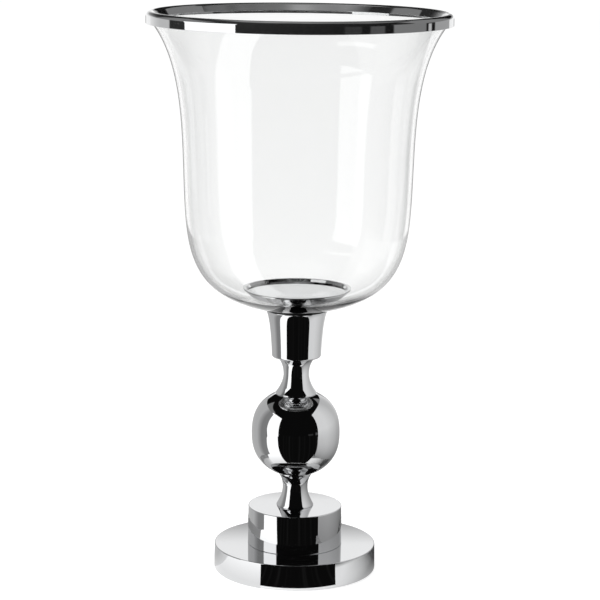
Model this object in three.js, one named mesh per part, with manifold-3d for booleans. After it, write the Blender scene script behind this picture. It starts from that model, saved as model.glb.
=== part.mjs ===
// Hurricane candle holder: a flared glass bell with a metal rim, on a turned metal stem and a round foot.
// Millimetres, +Z up. The origin is the centre of the foot, on the surface that the holder stands on.
// Every piece turns about the Z axis. A nutted rod runs up the middle and clamps the whole stack.

import * as THREE from 'three';
import { mergeVertices } from 'three/addons/utils/BufferGeometryUtils.js';
import Module from 'manifold-3d';

const wasm = await Module();
wasm.setup();

// Fits
const fitGap = 0.3;
const restGap = 0.3;

// Flat sides round a piece, a multiple of four, and steps along its curves
const wideSides = 48;
const stemSides = 36;
const smallSides = 24;
const bellSteps = 8;
const flareSteps = 5;
const ballSteps = 12;
const hollowSteps = 8;
const roundingSteps = 3;

// Points closer than this are one corner of a solid that is cut
const weldDistance = 1e-4;

// Tie rod and its nuts and washers
const rodRadius = 5;
const rodChamfer = 0.8;
const rodTail = 1.6;
const rodTip = 0.4;
const footNutWall = 3.2;
const footNutHeight = 6;
const lockNutWall = 1.7;
const lockNutHeight = 3;
const nutChamfer = 0.7;
const footWasherMargin = 1.2;
const footWasherThickness = 2;
const springWasherWidth = 3;
const springWasherThickness = 2.2;
const springWasherSlot = 1.6;
const springWasherSlant = Math.PI / 9;
const clampWasherMargin = 7;
const clampWasherThickness = 1.2;

// Foot: pad, disc and weight
const padThickness = 2.2;
const padProud = 0.8;
const padPlay = 0.8;
const discFootRadius = 81.8;
const discTopRadius = 81.3;
const discHeight = 26;
const discWall = 6.4;
const discRoof = 6;
const discFootRounding = 2;
const discTopRounding = 0.8;
const bossHeight = 1.5;
const wellPlay = 1.5;
const wellSpare = 0.8;

// Drum on the foot
const drumFootRadius = 47.7;
const drumTopRadius = 47.3;
const drumHeight = 39.2;
const drumWall = 3.5;
const drumRoof = 5;
const drumRounding = 0.8;

// Spigots that centre the necks in the drum, the ball and the cup
const spigotWall = 3.4;
const spigotLength = 2.2;
const spigotSpare = 0.3;

// Necks below and above the ball
const neckEdge = 0.9;
const lowerNeck = {
  height: 34.4, footRadius: 18.6, waistRadius: 12.7, waistHeight: 19.2,
  headRadius: 17.4, footReach: 0.45, headReach: 0.62,
};
const upperNeck = {
  height: 37.6, footRadius: 20.4, waistRadius: 12.85, waistHeight: 19.7,
  headRadius: 18.9, footReach: 0.44, headReach: 0.62,
};

// Ball: a globe a little fuller than a sphere, flat where the necks meet it
const ballRadius = 44.5;
const ballHalfHeight = 44.5;
const ballFullness = 0.82;
const ballWall = 2;
const ballPoleWall = 2.5;

// Cup that carries the bell
const cupFootRadius = 24.7;
const cupTopRadius = 31.1;
const cupHeight = 48;
const cupFootRounding = 2.6;
const cupSwellRadius = 26.3;
const cupSwellHeight = 40.5;
const cupEdge = 0.5;

// Glass bell: two smooth curves, from the seat to the shoulder and from the shoulder to the lip
const bellSeatRadius = 27.8;
const bellSeatSlope = 0.199;
const bellSeatReach = 51.8;
const bellShoulderRadius = 109;
const bellShoulderHeight = 73.7;
const bellShoulderLean = 0.163;
const bellShoulderReachDown = 45.4;
const bellShoulderReachUp = 60;
const bellLipRadius = 147.4;
const bellLipHeight = 287.2;
const bellLipLean = 0.708;
const bellLipReach = 67.6;
const bellWall = 3.5;
const bellBottomWall = 5;
const bellThickReach = 24;

// Soft pieces between the glass and the metal
const lowerGasketThickness = 0.8;
const lowerGasketInset = 2.6;
const upperGasketThickness = 0.8;
const upperGasketMargin = 2;
const sleeveWall = 2.2;

// Candle plate that rests in the bell
const plateFootRadius = 45;
const plateFootWidth = 3;
const plateRimRadius = 54;
const plateRimEdge = 1.1;
const plateRimWidth = 3.2;
const plateDepth = 3.1;
const plateDraft = 2;
const plateFloor = 1.5;
const plateRodGap = 0.6;
const plateLeastHollow = 6.5;

// Metal rim, a channel rolled over the lip, and the bead of sealant that bonds it
const rimWall = 1.2;
const rimRounding = 4.6;
const rimCrown = 0.6;
const rimInsideLean = 0.61;
const rimOverlapOutside = 4.2;
const rimOverlapInside = 0.3;
const rimPlayOutside = 1.4;
const rimPlayInside = 1.6;
const sealHeight = 5.8;

// Colours and finishes
const colours = {
  chrome: 0xd9dbde, iron: 0x3a3a3c, steel: 0xb4b6b8, rubber: 0x2b2b2b,
  felt: 0x1d1d1f, nylon: 0xe9e9e4, glass: 0xf3f8f6, sealant: 0xe4e7e6,
};
const opaque = (color, roughness, metalness) => (
  new THREE.MeshStandardMaterial({ color, roughness, metalness })
);
const clear = (color, roughness, opacity) => (
  new THREE.MeshStandardMaterial({ color, roughness, metalness: 0, transparent: true, opacity })
);
const polished = () => opaque(colours.chrome, 0.05, 1);
const castIron = () => opaque(colours.iron, 0.7, 0.6);
const zincSteel = () => opaque(colours.steel, 0.35, 1);
const blackRubber = () => opaque(colours.rubber, 0.8, 0);
const blackFelt = () => opaque(colours.felt, 0.95, 0);
const whiteNylon = () => opaque(colours.nylon, 0.5, 0);
const clearGlass = () => clear(colours.glass, 0, 0.3);
const clearSealant = () => clear(colours.sealant, 0.3, 0.7);

// Sizes that follow from the ones above
const boreRadius = rodRadius + fitGap;
const spigotRadius = boreRadius + spigotWall;
const spigotHoleRadius = spigotRadius + fitGap;
const spigotRecess = spigotLength + spigotSpare;
const hexCorner = 1 / Math.cos(Math.PI / 6);
const footNutInradius = boreRadius + footNutWall;
const lockNutInradius = boreRadius + lockNutWall;
const footWasherRadius = footNutInradius * hexCorner + footWasherMargin;
const springWasherRadius = boreRadius + springWasherWidth;
const clampWasherRadius = lockNutInradius * hexCorner + clampWasherMargin;
const wellRadius = Math.max(footWasherRadius, springWasherRadius) + wellPlay;
const footStack = footWasherThickness + springWasherThickness + footNutHeight;
const wellDepth = footStack + rodTail + wellSpare;
const discHollowRadius = Math.min(discFootRadius, discTopRadius) - discWall;
const drumHollowRadius = Math.min(drumFootRadius, drumTopRadius) - drumWall;
const weightRadius = discHollowRadius - fitGap;
const weightHeight = padProud + discHeight - discRoof - padThickness;
const sleeveRadius = boreRadius + sleeveWall;
const bellHoleRadius = sleeveRadius + fitGap;
const lowerGasketRadius = cupTopRadius - lowerGasketInset;
const upperGasketRadius = clampWasherRadius + upperGasketMargin;

// Height from the ball's middle to each of its flats
function flatHeight(flatRadius) {
  return ballHalfHeight * (1 - (flatRadius / ballRadius) ** 2) ** (ballFullness / 2);
}
const ballLowerHeight = flatHeight(lowerNeck.headRadius);
const ballUpperHeight = flatHeight(upperNeck.footRadius);

// Heights of the pieces above the floor, from the foot up
const discLevel = padProud;
const weightLevel = padThickness;
const drumLevel = discLevel + discHeight;
const lowerNeckLevel = drumLevel + drumHeight;
const ballLevel = lowerNeckLevel + lowerNeck.height;
const upperNeckLevel = ballLevel + ballLowerHeight + ballUpperHeight;
const cupLevel = upperNeckLevel + upperNeck.height;
const lowerGasketLevel = cupLevel + cupHeight;
const bellLevel = lowerGasketLevel + lowerGasketThickness;
const upperGasketLevel = bellLevel + bellBottomWall;
const clampWasherLevel = upperGasketLevel + upperGasketThickness;
const lockNutLevel = clampWasherLevel + clampWasherThickness;
const footWasherLevel = weightLevel + wellDepth - footWasherThickness;
const springWasherLevel = footWasherLevel - springWasherThickness;
const footNutLevel = springWasherLevel - footNutHeight;
const rodLevel = footNutLevel - rodTail;
const rodTopLevel = lockNutLevel + lockNutHeight + rodTip;
const rimLevel = bellLevel + bellLipHeight - rimOverlapOutside;
const sealLevel = bellLevel + bellLipHeight + restGap;
const rimHeight = sealLevel + sealHeight + restGap + rimWall - rimLevel;

// A profile point: distance from the axis, and height
function at(radius, height) {
  return new THREE.Vector2(radius, height);
}

// Points of an arc in the profile plane, both ends included, angles in quarter turns
function arc(radius, height, rounding, fromQuarter, toQuarter) {
  const points = [];
  for (let step = 0; step <= roundingSteps; step += 1) {
    const quarter = fromQuarter + (toQuarter - fromQuarter) * (step / roundingSteps);
    const angle = quarter * Math.PI / 2;
    points.push(at(radius + rounding * Math.cos(angle), height + rounding * Math.sin(angle)));
  }
  return points;
}

// Turns a profile about the Z axis. One that does not end on the axis is closed on itself first.
function turn(profile, sides) {
  const points = [...profile];
  const first = points[0];
  const last = points[points.length - 1];
  if (first.x > 0 || last.x > 0) points.push(first.clone());
  const solid = new THREE.LatheGeometry(points, sides);
  solid.rotateX(Math.PI / 2);
  return solid;
}

// A flat ring, such as a washer or a gasket
function flatRing(innerRadius, outerRadius, thickness, sides) {
  const profile = [
    at(innerRadius, 0), at(outerRadius, 0),
    at(outerRadius, thickness), at(innerRadius, thickness),
  ];
  return turn(profile, sides);
}

// A geometry as a solid that can be cut and joined
function toSolid(geometry) {
  const bare = geometry.clone();
  bare.deleteAttribute('normal');
  bare.deleteAttribute('uv');
  const merged = mergeVertices(bare, weldDistance);
  const mesh = new wasm.Mesh({
    numProp: 3,
    vertProperties: new Float32Array(merged.attributes.position.array),
    triVerts: new Uint32Array(merged.index.array),
  });
  return new wasm.Manifold(mesh);
}

// A cut or joined solid as a geometry again
function toGeometry(solid) {
  const mesh = solid.getMesh();
  const geometry = new THREE.BufferGeometry();
  geometry.setAttribute('position', new THREE.BufferAttribute(mesh.vertProperties, mesh.numProp));
  geometry.setIndex(new THREE.BufferAttribute(mesh.triVerts, 1));
  geometry.computeVertexNormals();
  return geometry;
}

// Tie rod: a plain bar with chamfered ends
function tieRod() {
  const length = rodTopLevel - rodLevel;
  const profile = [
    at(0, 0), at(rodRadius - rodChamfer, 0), at(rodRadius, rodChamfer),
    at(rodRadius, length - rodChamfer), at(rodRadius - rodChamfer, length), at(0, length),
  ];
  return turn(profile, smallSides);
}

// Hexagon nut with a round bore, its corners turned off at both ends
function hexNut(inradius, height) {
  const corner = inradius * hexCorner;
  const outline = new THREE.Shape();
  for (let side = 0; side < 6; side += 1) {
    const angle = side * Math.PI / 3;
    const point = at(corner * Math.cos(angle), corner * Math.sin(angle));
    if (side === 0) outline.moveTo(point.x, point.y);
    else outline.lineTo(point.x, point.y);
  }
  outline.closePath();
  const bar = new THREE.ExtrudeGeometry(outline, { depth: height, bevelEnabled: false });
  const turnedProfile = [
    at(boreRadius, 0), at(corner - nutChamfer, 0), at(corner, nutChamfer / 2),
    at(corner, height - nutChamfer / 2), at(corner - nutChamfer, height), at(boreRadius, height),
  ];
  const turnedBody = turn(turnedProfile, smallSides);
  return toGeometry(toSolid(bar).intersect(toSolid(turnedBody)));
}

// Spring washer: a ring sawn through at a slant
function splitWasher() {
  const ring = flatRing(boreRadius, springWasherRadius, springWasherThickness, smallSides);
  const saw = new THREE.BoxGeometry(springWasherRadius * 2, springWasherSlot, springWasherThickness * 4);
  saw.translate(springWasherRadius, 0, 0);
  saw.rotateX(springWasherSlant);
  saw.translate(0, 0, springWasherThickness / 2);
  return toGeometry(toSolid(ring).subtract(toSolid(saw)));
}

// Pad of felt glued into the underside of the foot
function floorPad() {
  const radius = discHollowRadius - padPlay;
  return turn([at(0, 0), at(radius, 0), at(radius, padThickness), at(0, padThickness)], stemSides);
}

// Foot disc: a turned dish with its hollow below, and a low boss on top that centres the drum
function baseDisc() {
  const bossRadius = drumHollowRadius - fitGap;
  const bossTop = discHeight + bossHeight;
  const profile = [
    at(discHollowRadius, 0),
    ...arc(discFootRadius - discFootRounding, discFootRounding, discFootRounding, -1, 0),
    ...arc(discTopRadius - discTopRounding, discHeight - discTopRounding, discTopRounding, 0, 1),
    at(bossRadius, discHeight),
    at(bossRadius, bossTop),
    at(boreRadius, bossTop),
    at(boreRadius, discHeight - discRoof),
    at(discHollowRadius, discHeight - discRoof),
  ];
  return turn(profile, wideSides);
}

// Weight that fills the foot disc, with a well below for the nut
function baseWeight() {
  const profile = [
    at(wellRadius, 0), at(weightRadius, 0), at(weightRadius, weightHeight),
    at(boreRadius, weightHeight), at(boreRadius, wellDepth), at(wellRadius, wellDepth),
  ];
  return turn(profile, wideSides);
}

// Drum: a cap open below, with a hole in its roof for the neck's spigot
function baseDrum() {
  const profile = [
    at(drumHollowRadius, 0),
    ...arc(drumFootRadius - drumRounding, drumRounding, drumRounding, -1, 0),
    ...arc(drumTopRadius - drumRounding, drumHeight - drumRounding, drumRounding, 0, 1),
    at(spigotHoleRadius, drumHeight),
    at(spigotHoleRadius, drumHeight - drumRoof),
    at(drumHollowRadius, drumHeight - drumRoof),
  ];
  return turn(profile, stemSides);
}

// One flared half of a neck, from its waist to its foot or head
function flare(waistRadius, waistHeight, endRadius, endHeight, reach) {
  const bend = at(waistRadius, waistHeight + reach * (endHeight - waistHeight));
  const curve = new THREE.QuadraticBezierCurve(at(waistRadius, waistHeight), bend, at(endRadius, endHeight));
  return curve.getPoints(flareSteps);
}

// Neck: a bored spool with a spigot at each end
function neck(size) {
  const { height, footRadius, waistRadius, waistHeight, headRadius, footReach, headReach } = size;
  const below = flare(waistRadius, waistHeight, footRadius, neckEdge, footReach).reverse();
  const above = flare(waistRadius, waistHeight, headRadius, height - neckEdge, headReach);
  const profile = [
    at(boreRadius, -spigotLength), at(spigotRadius, -spigotLength), at(spigotRadius, 0),
    at(footRadius, 0),
    ...below,
    ...above.slice(1),
    at(headRadius, height),
    at(spigotRadius, height), at(spigotRadius, height + spigotLength),
    at(boreRadius, height + spigotLength),
  ];
  return turn(profile, stemSides);
}

// Points of the ball's curve between two heights from its middle, going up
function ballCurve(equator, halfHeight, fromHeight, toHeight, steps) {
  const from = Math.asin(fromHeight / halfHeight);
  const to = Math.asin(toHeight / halfHeight);
  const points = [];
  for (let step = 0; step <= steps; step += 1) {
    const share = Math.sin(from + (to - from) * (step / steps));
    const radius = equator * Math.sqrt(1 - Math.abs(share) ** (2 / ballFullness));
    points.push(at(radius, ballLowerHeight + share * halfHeight));
  }
  return points;
}

// Ball: a hollow shell with a flat and a hole at each pole
function ball() {
  const height = ballLowerHeight + ballUpperHeight;
  const hollowRadius = ballRadius - ballWall;
  const hollowHalf = ballHalfHeight - ballWall;
  const hollowLow = ballLowerHeight - ballPoleWall;
  const hollowHigh = ballUpperHeight - ballPoleWall;
  const profile = [
    at(spigotHoleRadius, 0),
    ...ballCurve(ballRadius, ballHalfHeight, -ballLowerHeight, ballUpperHeight, ballSteps),
    at(spigotHoleRadius, height),
    at(spigotHoleRadius, height - ballPoleWall),
    ...ballCurve(hollowRadius, hollowHalf, -hollowLow, hollowHigh, hollowSteps).reverse(),
    at(spigotHoleRadius, ballPoleWall),
  ];
  return turn(profile, stemSides);
}

// Cup: a bored flaring block, with a recess below for the neck's spigot
function stemCup() {
  const side = new THREE.QuadraticBezierCurve(
    at(cupFootRadius, cupFootRounding),
    at(cupSwellRadius, cupSwellHeight),
    at(cupTopRadius, cupHeight - cupEdge),
  );
  const profile = [
    at(spigotHoleRadius, 0),
    ...arc(cupFootRadius - cupFootRounding, cupFootRounding, cupFootRounding, -1, 0),
    ...side.getPoints(flareSteps).slice(1),
    at(cupTopRadius, cupHeight),
    at(boreRadius, cupHeight),
    at(boreRadius, spigotRecess),
    at(spigotHoleRadius, spigotRecess),
  ];
  return turn(profile, stemSides);
}

// Outside of the bell from its seat to its lip
function bellOutside() {
  const seat = at(bellSeatRadius, 0);
  const shoulder = at(bellShoulderRadius, bellShoulderHeight);
  const lip = at(bellLipRadius, bellLipHeight);
  const shoulderWay = at(Math.sin(bellShoulderLean), Math.cos(bellShoulderLean));
  const seatWay = at(Math.cos(bellSeatSlope), Math.sin(bellSeatSlope));
  const lipWay = at(Math.sin(bellLipLean), Math.cos(bellLipLean));
  const bowl = new THREE.CubicBezierCurve(
    seat,
    seat.clone().addScaledVector(seatWay, bellSeatReach),
    shoulder.clone().addScaledVector(shoulderWay, -bellShoulderReachDown),
    shoulder,
  );
  const flareUp = new THREE.CubicBezierCurve(
    shoulder,
    shoulder.clone().addScaledVector(shoulderWay, bellShoulderReachUp),
    lip.clone().addScaledVector(lipWay, -bellLipReach),
    lip,
  );
  return [...bowl.getPoints(bellSteps), ...flareUp.getPoints(bellSteps).slice(1)];
}

// Thickness of the glass at a height above the bell's seat
function glassWallAt(height) {
  const fade = Math.max(0, 1 - height / bellThickReach);
  return bellWall + (bellBottomWall - bellWall) * fade * fade;
}

// Point where a rising profile crosses a height, by straight lines between its points
function crossing(points, height) {
  const above = points.findIndex((point) => point.y >= height);
  const high = points[above];
  const low = points[above - 1];
  const share = (height - low.y) / (high.y - low.y);
  return at(low.x + share * (high.x - low.x), height);
}

// Height of a profile that widens upward, at a radius
function heightAt(points, radius) {
  const beyond = points.findIndex((point) => point.x >= radius);
  const far = points[beyond];
  const near = points[beyond - 1];
  return near.y + (far.y - near.y) * (radius - near.x) / (far.x - near.x);
}

// Inside of the bell: the outside moved in by the glass, from the flat bottom to the ground lip
function bellInside(outside) {
  const moved = [];
  for (let index = 1; index < outside.length; index += 1) {
    const point = outside[index];
    const before = outside[index - 1];
    const after = outside[Math.min(index + 1, outside.length - 1)];
    const along = after.clone().sub(before).normalize();
    const wall = glassWallAt(point.y);
    moved.push(at(point.x - along.y * wall, point.y + along.x * wall));
  }
  const risen = moved.filter((point) => point.y > bellBottomWall && point.y < bellLipHeight);
  const floorEdge = at(bellSeatRadius - bellBottomWall * Math.tan(bellSeatSlope / 2), bellBottomWall);
  return [floorEdge, ...risen, crossing([floorEdge, ...moved], bellLipHeight)];
}

const outsidePoints = bellOutside();
const insidePoints = bellInside(outsidePoints);

// Glass bell, with a hole in its thick bottom for the rod's sleeve
function glassBell() {
  const profile = [
    at(bellHoleRadius, 0),
    ...outsidePoints,
    ...[...insidePoints].reverse(),
    at(bellHoleRadius, bellBottomWall),
  ];
  return turn(profile, wideSides);
}

// Candle plate: a shallow dish on a conical foot, which stands clear of the rod's tip
const plateLevel = bellLevel + heightAt(insidePoints, plateFootRadius) + restGap;
const plateHollow = Math.max(plateLeastHollow, rodTopLevel + plateRodGap - plateLevel);
const plateHeight = plateHollow + plateFloor + plateDepth;
function candlePlate() {
  const floorTop = plateHollow + plateFloor;
  const innerRim = plateRimRadius - plateRimWidth;
  const innerFoot = plateFootRadius - plateFootWidth;
  const spread = (plateRimRadius - plateFootRadius) / (plateHeight - plateRimEdge);
  const profile = [
    at(0, plateHollow), at(innerFoot + spread * plateHollow, plateHollow),
    at(innerFoot, 0), at(plateFootRadius, 0),
    at(plateRimRadius, plateHeight - plateRimEdge), at(plateRimRadius, plateHeight),
    at(innerRim, plateHeight), at(innerRim - plateDraft, floorTop), at(0, floorTop),
  ];
  return turn(profile, wideSides);
}

// Rounding of the rim: the wall is rolled round two centres, with a narrow crown between them
const rimBend = rimRounding - rimWall;
const rimRollHeight = rimHeight - rimRounding;
const rimRollOutside = bellLipRadius + rimPlayOutside - rimBend;

// The inner centre lies where the slanted leg keeps clear of the glass
const rimLegRise = rimOverlapOutside - rimOverlapInside;
const rimLegClear = crossing(insidePoints, bellLipHeight - rimOverlapInside).x - rimPlayInside;
const rimLegTaper = (rimRollHeight - rimLegRise) * Math.tan(rimInsideLean);
const rimLegSpread = rimLegTaper + rimBend / Math.cos(rimInsideLean);
const rimRollInside = Math.min(rimRollOutside - rimCrown, rimLegClear + rimLegSpread);

// Points over the rim at a distance from its centres, from the outer side to the slanted leg
function rimRoll(rounding) {
  return [
    ...arc(rimRollOutside, rimRollHeight, rounding, 0, 1),
    ...arc(rimRollInside, rimRollHeight, rounding, 1, 2 - rimInsideLean / (Math.PI / 2)),
  ];
}

// Point down the slanted leg, from where the rounding ends, at a height
function downLeg(roll, height) {
  const start = roll[roll.length - 1];
  return at(start.x - (start.y - height) * Math.tan(rimInsideLean), height);
}

// Rim: a rounded channel open below, with a short leg that leans along the glass
function rimRing() {
  const outside = rimRoll(rimRounding);
  const inside = rimRoll(rimBend);
  const profile = [
    at(rimRollOutside + rimRounding, 0), ...outside, downLeg(outside, rimLegRise),
    downLeg(inside, rimLegRise), ...inside.reverse(), at(rimRollOutside + rimBend, 0),
  ];
  return turn(profile, wideSides);
}

// Bead of sealant between the ground lip and the channel
function rimSeal() {
  const foot = sealLevel - rimLevel;
  const top = rimRoll(rimBend - restGap);
  const profile = [downLeg(top, foot), at(rimRollOutside + rimBend - restGap, foot), ...top];
  return turn(profile.map((point) => at(point.x, point.y - foot)), wideSides);
}

// Assembly
const holder = new THREE.Group();

function add(name, geometry, material, level) {
  const mesh = new THREE.Mesh(geometry, material);
  mesh.name = name;
  mesh.position.z = level;
  holder.add(mesh);
}

add('floor_pad', floorPad(), blackFelt(), 0);
add('base_disc', baseDisc(), polished(), discLevel);
add('base_weight', baseWeight(), castIron(), weightLevel);
add('foot_nut', hexNut(footNutInradius, footNutHeight), zincSteel(), footNutLevel);
add('foot_spring_washer', splitWasher(), zincSteel(), springWasherLevel);
add('foot_washer', flatRing(boreRadius, footWasherRadius, footWasherThickness, smallSides),
  zincSteel(), footWasherLevel);
add('tie_rod', tieRod(), zincSteel(), rodLevel);
add('base_drum', baseDrum(), polished(), drumLevel);
add('lower_neck', neck(lowerNeck), polished(), lowerNeckLevel);
add('ball', ball(), polished(), ballLevel);
add('upper_neck', neck(upperNeck), polished(), upperNeckLevel);
add('stem_cup', stemCup(), polished(), cupLevel);
add('lower_gasket', flatRing(boreRadius, lowerGasketRadius, lowerGasketThickness, smallSides),
  blackRubber(), lowerGasketLevel);
add('glass_bell', glassBell(), clearGlass(), bellLevel);
add('rod_sleeve', flatRing(boreRadius, sleeveRadius, bellBottomWall, smallSides), whiteNylon(), bellLevel);
add('upper_gasket', flatRing(boreRadius, upperGasketRadius, upperGasketThickness, smallSides),
  blackRubber(), upperGasketLevel);
add('clamp_washer', flatRing(boreRadius, clampWasherRadius, clampWasherThickness, smallSides),
  zincSteel(), clampWasherLevel);
add('lock_nut', hexNut(lockNutInradius, lockNutHeight), zincSteel(), lockNutLevel);
add('candle_plate', candlePlate(), polished(), plateLevel);
add('rim_seal', rimSeal(), clearSealant(), sealLevel);
add('rim_ring', rimRing(), polished(), rimLevel);

export default holder;
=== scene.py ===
# Hurricane candle holder: a clear flared bell with a metal rim, on a polished stem and a round foot.
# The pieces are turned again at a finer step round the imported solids, in the same places.
# Sizes are in millimetres, and places in the studio's materials are in metres.

import math

import bpy
import numpy as np
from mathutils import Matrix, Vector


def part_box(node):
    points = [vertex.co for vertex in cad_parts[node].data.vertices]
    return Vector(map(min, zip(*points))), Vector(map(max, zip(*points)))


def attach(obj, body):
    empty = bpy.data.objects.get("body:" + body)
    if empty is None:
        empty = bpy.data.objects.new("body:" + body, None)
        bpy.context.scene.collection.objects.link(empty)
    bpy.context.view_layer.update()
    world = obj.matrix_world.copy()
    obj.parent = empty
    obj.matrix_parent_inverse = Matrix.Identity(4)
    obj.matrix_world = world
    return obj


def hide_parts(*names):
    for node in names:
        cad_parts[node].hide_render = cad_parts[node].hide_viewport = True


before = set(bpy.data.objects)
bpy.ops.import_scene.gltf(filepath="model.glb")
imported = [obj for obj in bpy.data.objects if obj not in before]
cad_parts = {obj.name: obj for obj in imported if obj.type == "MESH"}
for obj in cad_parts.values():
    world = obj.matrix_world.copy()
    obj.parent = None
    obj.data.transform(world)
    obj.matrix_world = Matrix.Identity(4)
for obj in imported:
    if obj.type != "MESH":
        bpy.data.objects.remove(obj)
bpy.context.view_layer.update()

MM = 0.001

# Steps round a piece and along its curves
WIDE_SIDES = 192
STEM_SIDES = 144
SMALL_SIDES = 96
CURVE_STEPS = 40
CORNER_STEPS = 6
ROLL_STEPS = 16
ROD_SIDES = 48

# Edges: bends under the sharp angle shade as one surface, and a fillet takes a share of a side at most
SHARP_ANGLE = math.radians(32)
GENTLE_ANGLE = SHARP_ANGLE / 4
EDGE_SOFTNESS = 0.25
FILLET_SHARE = 0.45
TINY = 1e-9
ON_AXIS = 1e-6


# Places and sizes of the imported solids, in millimetres
def low(node):
    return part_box(node)[0].z / MM


def high(node):
    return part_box(node)[1].z / MM


def radius(node):
    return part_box(node)[1].x / MM


# Fits and small roundings
FIT_GAP = 0.3
GASKET_ROUNDING = 0.3
HOLLOW_ROUNDING = 1.5
THIN_ROUNDING = 0.2

# Foot and drum
PAD_ROUNDING = 0.7
DISC_TOP_RADIUS = 81.3
DISC_WALL = 6.4
DISC_ROOF = 6
DISC_FOOT_ROUNDING = 2
DISC_TOP_ROUNDING = 0.8
BOSS_HEIGHT = 1.5
WELL_RADIUS = 14.2
WELL_ROUNDING = 0.8
WEIGHT_FOOT_ROUNDING = 1.2
WEIGHT_TOP_ROUNDING = 1.5
DRUM_TOP_RADIUS = 47.3
DRUM_WALL = 3.5
DRUM_ROOF = 5
DRUM_ROUNDING = 0.8

# Necks
SPIGOT_WALL = 3.4
SPIGOT_LENGTH = 2.2
SPIGOT_SPARE = 0.3
SPIGOT_ROUNDING = 0.1
NECK_EDGE = 0.9
NECKS = {
    "lower_neck": {
        "waist": 12.7, "waist_height": 19.2, "head": 17.4, "foot_reach": 0.45, "head_reach": 0.62},
    "upper_neck": {
        "waist": 12.85, "waist_height": 19.7, "head": 18.9, "foot_reach": 0.44, "head_reach": 0.62},
}

# Ball
BALL_RADIUS = 44.5
BALL_HALF_HEIGHT = 44.5
BALL_FULLNESS = 0.82
BALL_WALL = 2
BALL_POLE_WALL = 2.5

# Cup
CUP_FOOT_RADIUS = 24.7
CUP_FOOT_ROUNDING = 2.6
CUP_SWELL = (26.3, 40.5)
CUP_EDGE = 0.5

# Glass bell: leans are from upright, and reaches are the lengths of the curve's handles
LIP_RADIUS = radius("glass_bell")
LIP_HEIGHT = high("glass_bell") - low("glass_bell")
SEAT_RADIUS = 27.8
SEAT_SLOPE = 0.199
SEAT_REACH = 51.8
SHOULDER = (109, 73.7)
SHOULDER_LEAN = 0.163
SHOULDER_REACH_DOWN = 45.4
SHOULDER_REACH_UP = 60
LIP_LEAN = 0.708
LIP_REACH = 67.6
BELL_WALL = 3.5
BELL_BOTTOM_WALL = 5
BELL_THICK_REACH = 24
BELL_HOLE_ROUNDING = 0.5
BELL_INSIDE_MARGIN = 0.3

# Candle plate
PLATE_FOOT_RADIUS = 45
PLATE_FOOT_WIDTH = 3
PLATE_RIM_EDGE = 1.1
PLATE_RIM_WIDTH = 3.2
PLATE_DEPTH = 3.1
PLATE_DRAFT = 2
PLATE_FLOOR = 1.5
PLATE_ROUNDING = 0.5
PLATE_INNER_ROUNDING = 0.6
PLATE_HOLLOW_ROUNDING = 0.8

# Rim
RIM_WALL = 1.2
RIM_ROUNDING = 4.6
RIM_CROWN = 0.6
RIM_INSIDE_LEAN = 0.61
RIM_OVERLAP_OUTSIDE = 4.2
RIM_OVERLAP_INSIDE = 0.3
RIM_EDGE_ROUNDING = 0.3
SEAL_GAP = 0.3

# Sizes that follow from these
ROD_RADIUS = radius("tie_rod")
BORE_RADIUS = ROD_RADIUS + FIT_GAP
SPIGOT_RADIUS = BORE_RADIUS + SPIGOT_WALL
SPIGOT_HOLE = SPIGOT_RADIUS + FIT_GAP
SPIGOT_RECESS = SPIGOT_LENGTH + SPIGOT_SPARE
DISC_HOLLOW = DISC_TOP_RADIUS - DISC_WALL
DRUM_HOLLOW = DRUM_TOP_RADIUS - DRUM_WALL
BELL_HOLE = radius("rod_sleeve") + FIT_GAP


# Profiles: points are (distance from the axis, height), and go up on the outer side
def unit(vector):
    return vector / max(np.linalg.norm(vector), TINY)


def corner(before, point, after, fillet):
    """Points that round one corner of a profile."""
    back, ahead = before - point, after - point
    bend = math.acos(np.clip(np.dot(unit(-back), unit(ahead)), -1, 1))
    if bend < GENTLE_ANGLE:
        return [point]
    room = FILLET_SHARE * min(np.linalg.norm(back), np.linalg.norm(ahead))
    reach = min(fillet * math.tan(bend / 2), room)
    start, end = point + unit(back) * reach, point + unit(ahead) * reach
    middle = unit(unit(back) + unit(ahead))
    centre = point + middle * reach / math.sin(bend / 2) if bend < math.pi else point
    rounding = np.linalg.norm(start - centre)
    first, last = unit(start - centre), unit(end - centre)
    span = math.acos(np.clip(np.dot(first, last), -1, 1))
    points = []
    for step in range(CORNER_STEPS + 1):
        share = step / CORNER_STEPS
        spoke = (first * math.sin((1 - share) * span) + last * math.sin(share * span)) / math.sin(span)
        points.append(centre + spoke * rounding)
    return points


def outline(*items, closed=True):
    """A profile from corners (r, z), corners with a rounding (r, z, rounding), and ready curves."""
    points, fillets = [], []
    for item in items:
        if isinstance(item, np.ndarray):
            points += [np.array(point, float) for point in item]
            fillets += [0.0] * len(item)
        else:
            points.append(np.array(item[:2], float))
            fillets.append(item[2] if len(item) > 2 else EDGE_SOFTNESS)
    made = []
    for index, (point, fillet) in enumerate(zip(points, fillets)):
        at_end = not closed and index in (0, len(points) - 1)
        if fillet == 0 or at_end:
            made.append(point)
        else:
            made += corner(points[index - 1], point, points[(index + 1) % len(points)], fillet)
    return np.array(made)


def bezier(*controls, steps=CURVE_STEPS):
    """A Bezier curve of any degree through its control points."""
    controls = [np.array(point, float) for point in controls]
    points = []
    for share in np.linspace(0, 1, steps + 1):
        level = controls
        while len(level) > 1:
            level = [a + (b - a) * share for a, b in zip(level, level[1:])]
        points.append(level[0])
    return np.array(points)


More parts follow.
